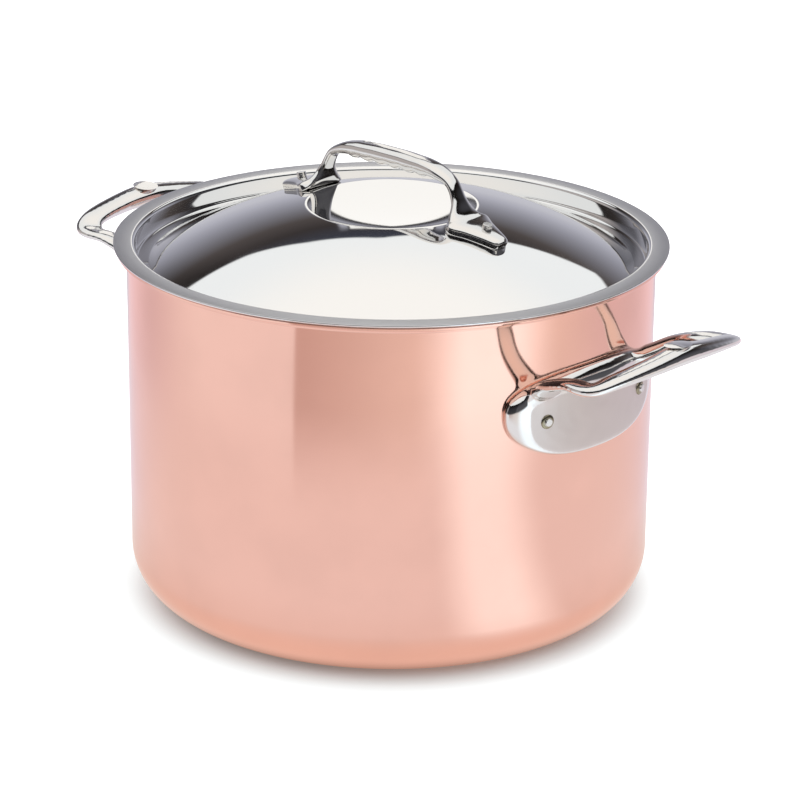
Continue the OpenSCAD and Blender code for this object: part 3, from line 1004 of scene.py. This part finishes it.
class STOCKPOT_OT_lid(bpy.types.Operator):
    """Turns the lid: flange, plug, trough and dome in one sheet"""

    bl_idname = "stockpot.lid"
    bl_label = "Lid"

    def execute(self, context):
        lid, rivets, colours = groups_of(context, "lid", "rivets", "finishes")
        radius, middle = dome_shape(lid)
        foot, sheet, edge = lid.plug_radius - lid.trough_width, lid.sheet, lid.sheet * 0.4
        top = lid.seat + sheet
        bend = (lid.plug_radius + lid.flange_bend, lid.seat - lid.flange_bend)
        corner = (lid.plug_radius - lid.trough_bend, lid.underside + lid.trough_bend)
        trough = lid.underside + sheet
        upper_at, dome_end, lower_at = foot + 0.3 * MM, foot - 0.4 * MM, foot - sheet * 0.9
        crest = [lid.dish_radius + lid.dish_edge * k / 4 for k in range(-4, 5)]
        dish = [crest[0] * k / 14 for k in range(1, 14)]
        crown = [crest[-1] + (foot - crest[-1]) * k / 26 for k in range(1, 26)]
        dome_out = [(r, dome_height(lid, r)) for r in [0] + dish + crest + crown]
        inner = radius - sheet
        shoulder = crest[-1]
        under = dome_height(lid, shoulder) - middle - math.sqrt(inner**2 - shoulder**2)
        lower = [lower_at] + [r for r in crown[:0:-1] if r < lower_at]
        dome_in = [(r, middle + math.sqrt(inner**2 - r**2)) for r in lower]
        dome_in += [(r, dome_height(lid, r) - under) for r in crest[::-1] + dish[::-1]]
        profile = (
            dome_out
            + [(dome_end, dome_height(lid, dome_end)), (upper_at, trough)]
            + arc(corner, lid.trough_bend - sheet, -90, 0, 8)
            + arc(bend, lid.flange_bend + sheet, 180, 90, 8)
            + arc((lid.flange_radius - edge, top - edge), edge, 90, 0, 4)
            + arc((lid.flange_radius - edge, lid.seat + edge), edge, 0, -90, 4)
            + arc(bend, lid.flange_bend, 90, 180, 6)
            + arc(corner, lid.trough_bend, 0, -90, 8)
            + [(foot, lid.underside)]
            + dome_in
            + [(0, dome_height(lid, 0) - under)]
        )
        sheet_piece = turned("lid_sheet", profile, BODY_STEPS)
        axes = lid_rivet_axes(lid, rivets).values()
        cut(sheet_piece, [bore(rivets.lid_shank + BORE_PLAY, -6 * MM, 6 * MM, axis) for axis in axes])
        smoothed(sheet_piece, 30)
        finish = finish_called("lid steel", lid_polish, colours, bend[0], top)
        dress(sheet_piece, "lid", "lid_steel", ["lid_shell"], finish)
        return {"FINISHED"}


# Half of the lid handle, from the middle of the grip to where it meets the foot. Each row is outward as a share of
# the handle's half width, upward as a share of the rise, width and thickness as shares of the grip's, and how far its
# sides stand straight down.
ARCH_SHARES = [
    [0.00, 0.81, 1.00, 1.00, 0.0],
    [0.11, 0.81, 1.00, 1.00, 0.0],
    [0.22, 0.80, 0.99, 0.96, 0.0],
    [0.32, 0.79, 0.96, 0.88, 0.0],
    [0.43, 0.74, 0.90, 0.72, 0.0],
    [0.545, 0.59, 0.70, 0.48, 0.0],
    [0.61, 0.27, 0.84, 0.48, 0.0],
]
# The foot: outward, clear height above the dome as a share of the foot's thickness, width and thickness, and sides.
FOOT_SHARES = [
    [0.645, 0.95, 0.66, 1.00, 0.2],
    [0.69, 0.45, 0.97, 1.15, 1.0],
    [0.79, 0.42, 0.72, 1.16, 1.0],
    [0.90, 0.45, 0.50, 1.10, 1.0],
    [0.965, 0.45, 0.38, 1.02, 1.0],
    [0.99, 0.42, 0.30, 0.85, 1.0],
    [1.00, 0.38, 0.20, 0.60, 1.0],
]
# The finger bumps end at this share of the handle's half width.
BUMP_REACH = 0.38


def arch_rings(arch, lid):
    """The lid handle from the end of one foot over the grip to the end of the other."""
    radius, middle = dome_shape(lid)
    half = [
        [r[0] * arch.half_width, lid.dome_top + r[1] * arch.rise, r[2] * arch.width, r[3] * arch.thickness, r[4]]
        for r in ARCH_SHARES
    ]
    for out, up, wide, thick, straight in FOOT_SHARES:
        x = out * arch.half_width
        high = middle + math.sqrt(radius**2 - x**2) + up * arch.foot_thickness
        half.append([x, high, wide * arch.foot_width, thick * arch.foot_thickness, straight])
    rows = smooth_rows([[-r[0], *r[1:]] for r in half[:0:-1]] + half, PATH_STEPS)
    places = [Vector((row[0], 0, row[1])) for row in rows]
    heart = Vector((0, 0, middle))
    side = Vector((0, 1, 0))
    rings = []
    for i, (place, row) in enumerate(zip(places, rows)):
        top = side.cross(travel(places, i)) * -1
        near = abs(place.x) < BUMP_REACH * arch.half_width
        bump = arch.bump_height * (1 - math.cos(2 * math.pi * place.x / arch.bump_pitch)) / 2 if near else 0.0
        wide, thick = row[2] / 2, row[3] / 2
        square_below = SQUARE_GRIP + (SQUARE_FOOT - SQUARE_GRIP) * min(max(row[4], 0.0), 1.0)
        ring = oval_ring(place, side, top, wide, thick, SQUARE_GRIP, 64, 1 + bump / thick, square_below)
        for k, spot in enumerate(ring):
            from_heart = spot - heart
            if from_heart.length < radius:
                ring[k] = heart + from_heart.normalized() * radius
        rings.append(ring)
    return rings


class STOCKPOT_OT_lid_handle(bpy.types.Operator):
    """Casts the lid's arch handle with its two spreading feet and the finger bumps under its grip"""

    bl_idname = "stockpot.lid_handle"
    bl_label = "Lid handle"

    def execute(self, context):
        lid, arch, rivets, colours = groups_of(context, "lid", "lid_handle", "rivets", "finishes")
        grip = lofted("lid_grip", arch_rings(arch, lid))
        axes = lid_rivet_axes(lid, rivets).values()
        cut(grip, [bore(rivets.lid_shank + BORE_PLAY, -4 * MM, 20 * MM, axis) for axis in axes])
        smoothed(grip, 40)
        dress(grip, "lid", "cast_steel", ["lid_handle"], finish_called("grip steel", grip_polish, colours))
        return {"FINISHED"}


# The stage


DEGREES = 180 / math.pi
WHITE = (1.0, 1.0, 1.0)
# The dark room's colours by elevation, in degrees. It is paler towards the floor.
ROOM = [
    (-90, (0.80, 0.80, 0.84)),
    (2, (0.56, 0.56, 0.62)),
    (8, (0.46, 0.46, 0.53)),
    (15, (0.31, 0.31, 0.36)),
    (21, (0.19, 0.185, 0.21)),
    (27, (0.085, 0.072, 0.07)),
    (33, (0.045, 0.038, 0.038)),
    (42, (0.045, 0.052, 0.075)),
]
# The softbox's lower edge: azimuth from the pot's far side, and elevation.
BOX_EDGE = [(-60, 31), (-34, 33), (-22, 35), (-14, 39), (-2, 42), (10, 38), (27, 26), (44, 36)]


def level_ways(x, y, back, right):
    """How far a place or direction lies away from the camera, and how far to the right."""
    return x * back.x + y * back.y, x * right.x + y * right.y


def dark_room(recipe, height, behind, ahead):
    """The room that the lid and the castings mirror.

    It is darker at the far left, and in front and on the right, and has a paler wall on the left. A slit of light
    that widens upwards, in a dark frame, stands straight behind the pot, for the dish in the lid.
    """
    room = recipe.gradient(height, ROOM)
    room = behind.rise(-20.0, -34.0).mix(room, room.scaled(0.45))
    room = (ahead.rise(-75.0, -55.0) * ahead.rise(130.0, 105.0)).mix(room, room.scaled(0.17))
    left = ahead.rise(-62.0, -78.0) * ahead.rise(-135.0, -110.0) * height.rise(32.0, 20.0)
    room = left.mix(room, (0.50, 0.46, 0.45))
    slit = height - 3.0 - abs_of(behind) * 5.4
    frame = slit.rise(-0.4, -3.2).mix((0.03, 0.027, 0.03), (0.42, 0.42, 0.48))
    room = (slit.rise(-11.0, -6.0) * height.rise(38.0, 33.0)).mix(room, frame)
    return (slit.rise(-0.3, 0.4) * height.rise(37.0, 35.0)).mix(room, (1.08, 1.06, 1.03))


def low_light(ahead):
    """What lies below level, past the floor near the pot.

    It is a pale table, which is warmer in front and cooler straight behind the pot, with a white card low down on the
    left and a bright lamp low down on the right.
    """
    aside = abs_of(ahead)
    front = ahead.rise(-48.0, 20.0).mix((0.62, 0.50, 0.48), (0.89, 0.83, 0.80))
    side = aside.rise(125.0, 155.0).mix((0.77, 0.68, 0.74), (0.92, 0.77, 0.84))
    low = aside.rise(72.0, 112.0).mix(front, side)
    low = aside.rise(157.0, 172.0).mix(low, (0.64, 0.65, 0.75))
    card = ahead.rise(-41.0, -42.4) * ahead.rise(-132.0, -88.0)
    low = card.mix(low, (0.97, 0.98, 1.02))
    lamp = ahead.rise(8.0, 36.0) * ahead.rise(80.0, 52.0)
    return lamp.mix(low, (1.36, 1.5, 1.6))


def studio_light(recipe, back, right):
    """A white softbox overhead, a dark room round it, and a table, a card and a lamp low down.

    The camera sees plain white. height is an elevation, and behind and ahead are azimuths from the pot's far and near
    side, positive on the right, all in degrees.
    """
    way = recipe.node("ShaderNodeTexCoord", output="Generated")
    x, y, z = [recipe.node("ShaderNodeSeparateXYZ", {}, {"Vector": way}, axis) for axis in "XYZ"]
    height = z.math("ARCSINE", z) * DEGREES
    deep, aside = level_ways(x, y, back, right)
    behind = deep.math("ARCTAN2", aside, deep) * DEGREES
    ahead = deep.math("ARCTAN2", aside, deep * -1.0) * DEGREES
    edge = recipe.gradient(behind * 0.5, [(azimuth / 2, (up / 90,) * 3) for azimuth, up in BOX_EDGE])
    softbox = height.rise(38.0, 66.0).mix((0.97, 0.99, 1.0), (1.09, 1.06, 1.02))
    seen = (height - edge.brightness() * 90.0).rise(-0.5, 0.5).mix(dark_room(recipe, height, behind, ahead), softbox)
    seen = height.rise(-8.0, -14.0).mix(seen, low_light(ahead))
    shown = recipe.ray("Camera").mix(seen, WHITE)
    strength = recipe.ray("Diffuse") * 0.75 + 1.0
    world = recipe.node("ShaderNodeBackground", {}, {"Color": shown, "Strength": strength}, "Background")
    recipe.node("ShaderNodeOutputWorld", {}, {"Surface": world})


def pale_floor(recipe, back, right):
    """A white floor that keeps the pot's shadow, with painted shadow added round the pot's foot.

    It glows a little for the camera, so that it ends in white; the glow is weaker near the pot and stronger on the
    right, as painted shadow and light. Its paint is cooler close to the pot, where the copper throws warm light on it,
    and at the pot's foot it is darker on the left and paler on the right, as painted shadow. The metal sees a glowing
    floor near the pot instead, with the pot's warm shade painted under its edge and a painted pool of light on the
    right, and further out it sees the studio. far is in metres from the pot's axis.
    """
    x, y, z = recipe.place()
    deep, aside = level_ways(x, y, back, right)
    ahead = deep.math("ARCTAN2", aside, deep * -1.0) * DEGREES
    far = radius_of(x, y)
    shade = far.rise(0.23, 0.115).mix((0.8, 0.8, 0.8), (0.70, 0.785, 0.812))
    # painted shadow: at the pot's foot the paint is darker on the left and paler and cooler on the right
    painted_foot_shade = ahead.rise(20.0, -30.0).mix((0.74, 0.92, 0.98), (0.40, 0.58, 0.65))
    shade = far.rise(0.116, 0.100).mix(shade, painted_foot_shade)
    paint = recipe.node("ShaderNodeBsdfDiffuse", {}, {"Color": shade}, "BSDF")
    # painted shadow and light: the camera's glow is weak near the pot's foot and stronger on the right
    glow_with_painted_light = 0.52 + 0.12 * ahead.rise(-20.0, 40.0)
    strength = recipe.ray("Camera") * (0.13 + glow_with_painted_light * far.rise(0.104, 0.148))
    glow = recipe.node("ShaderNodeEmission", {}, {"Color": WHITE, "Strength": strength}, "Emission")
    seen = recipe.node("ShaderNodeAddShader", {}, {0: paint, 1: glow})
    # painted reflection: the metal sees the floor as a glowing colour, with the pot's warm shade painted under its edge
    painted_reflection = abs_of(ahead).rise(85.0, 135.0).mix((0.92, 0.90, 0.93), (0.87, 0.82, 0.91))
    painted_reflection = far.rise(0.21, 0.14).mix(painted_reflection, (0.86, 0.79, 0.78))
    painted_reflection = far.rise(0.165, 0.118).mix(painted_reflection, (0.89, 0.75, 0.69))
    painted_reflection = far.rise(0.119, 0.102).mix(painted_reflection, (0.42, 0.25, 0.18))
    # painted pool of light on the right of the floor, seen only in the metal
    painted_pool = ahead.rise(14.0, 30.0) * ahead.rise(58.0, 38.0) * far.rise(0.125, 0.19)
    painted_reflection = painted_pool.mix(painted_reflection, (1.2, 1.3, 1.38))
    mirrored = recipe.node("ShaderNodeEmission", {}, {"Color": painted_reflection}, "Emission")
    clear = recipe.node("ShaderNodeBsdfTransparent", output="BSDF")
    mirrored = recipe.mixed(far.rise(0.32, 0.52), mirrored, clear)
    recipe.node("ShaderNodeOutputMaterial", {}, {"Surface": recipe.mixed(recipe.ray("Glossy"), seen, mirrored)})


class STOCKPOT_OT_stage(bpy.types.Operator):
    """Lays the pale floor, lights it softly from above and sets up the camera"""

    bl_idname = "stockpot.stage"
    bl_label = "Stage"

    def execute(self, context):
        scene = context.scene
        view = scene.stockpot_stage
        turn = Matrix.Rotation(view.turn, 3, "Z")
        level = math.cos(view.pitch)
        ahead = Vector((math.sin(view.yaw) * level, math.cos(view.yaw) * level, -math.sin(view.pitch)))
        aside = ahead.cross(Vector((0, 0, 1))).normalized()
        up = aside.cross(ahead)
        right = aside * math.cos(view.roll) + up * math.sin(view.roll)
        above = up * math.cos(view.roll) - aside * math.sin(view.roll)
        start_clean()
        bpy.ops.object.camera_add(location=turn @ Vector((0, -view.distance, view.height)))
        camera = context.object
        camera.name = "camera"
        camera.rotation_euler = Matrix((turn @ right, turn @ above, turn @ -ahead)).transposed().to_euler()
        camera.data.lens = view.lens
        camera.data.sensor_width = 36
        camera.data.clip_end = 50
        scene.camera = camera
        start_clean()
        bpy.ops.mesh.primitive_circle_add(vertices=128, radius=view.floor_radius, fill_type="NGON")
        floor = name_piece("floor")
        back, side = turn @ Vector((0, 1, 0)), turn @ Vector((1, 0, 0))
        floor.data.materials.append(finish_called("pale floor", pale_floor, back, side))
        world = bpy.data.worlds.new("studio")
        world.use_nodes = True
        studio_light(Recipe(world.node_tree), back, side)
        scene.world = world
        scene.view_settings.view_transform = "Standard"
        return {"FINISHED"}


# The panel and the run

GROUPS = {
    "stockpot_pot": STOCKPOT_PG_pot,
    "stockpot_lid": STOCKPOT_PG_lid,
    "stockpot_side_handle": STOCKPOT_PG_side_handle,
    "stockpot_lid_handle": STOCKPOT_PG_lid_handle,
    "stockpot_rivets": STOCKPOT_PG_rivets,
    "stockpot_finishes": STOCKPOT_PG_finishes,
    "stockpot_stage": STOCKPOT_PG_stage,
}
OPERATORS = [
    STOCKPOT_OT_stage,
    STOCKPOT_OT_body,
    STOCKPOT_OT_side_handles,
    STOCKPOT_OT_lid,
    STOCKPOT_OT_lid_handle,
    STOCKPOT_OT_rivets,
]


class STOCKPOT_PT_panel(bpy.types.Panel):
    """Sizes and finishes of the stockpot, with a button for each group of pieces"""

    bl_idname = "STOCKPOT_PT_panel"
    bl_label = "Copper stockpot"
    bl_space_type = "VIEW_3D"
    bl_region_type = "UI"
    bl_category = "Stockpot"

    def draw(self, context):
        for operator in OPERATORS:
            self.layout.operator(operator.bl_idname)
        for name, group in GROUPS.items():
            box = self.layout.box()
            for key in group.bl_rna.properties.keys():
                if key not in ("rna_type", "name"):
                    box.prop(getattr(context.scene, name), key)


def register():
    for name, group in GROUPS.items():
        bpy.utils.register_class(group)
        setattr(bpy.types.Scene, name, bpy.props.PointerProperty(type=group))
    for operator in OPERATORS:
        bpy.utils.register_class(operator)
    bpy.utils.register_class(STOCKPOT_PT_panel)


def unregister():
    bpy.utils.unregister_class(STOCKPOT_PT_panel)
    for operator in reversed(OPERATORS):
        bpy.utils.unregister_class(operator)
    for name, group in GROUPS.items():
        delattr(bpy.types.Scene, name)
        bpy.utils.unregister_class(group)


def main():
    """Registers the classes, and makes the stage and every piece."""
    register()
    bpy.ops.stockpot.stage()
    bpy.ops.stockpot.body()
    bpy.ops.stockpot.side_handles()
    bpy.ops.stockpot.lid()
    bpy.ops.stockpot.lid_handle()
    bpy.ops.stockpot.rivets()


if __name__ == "__main__":
    main()
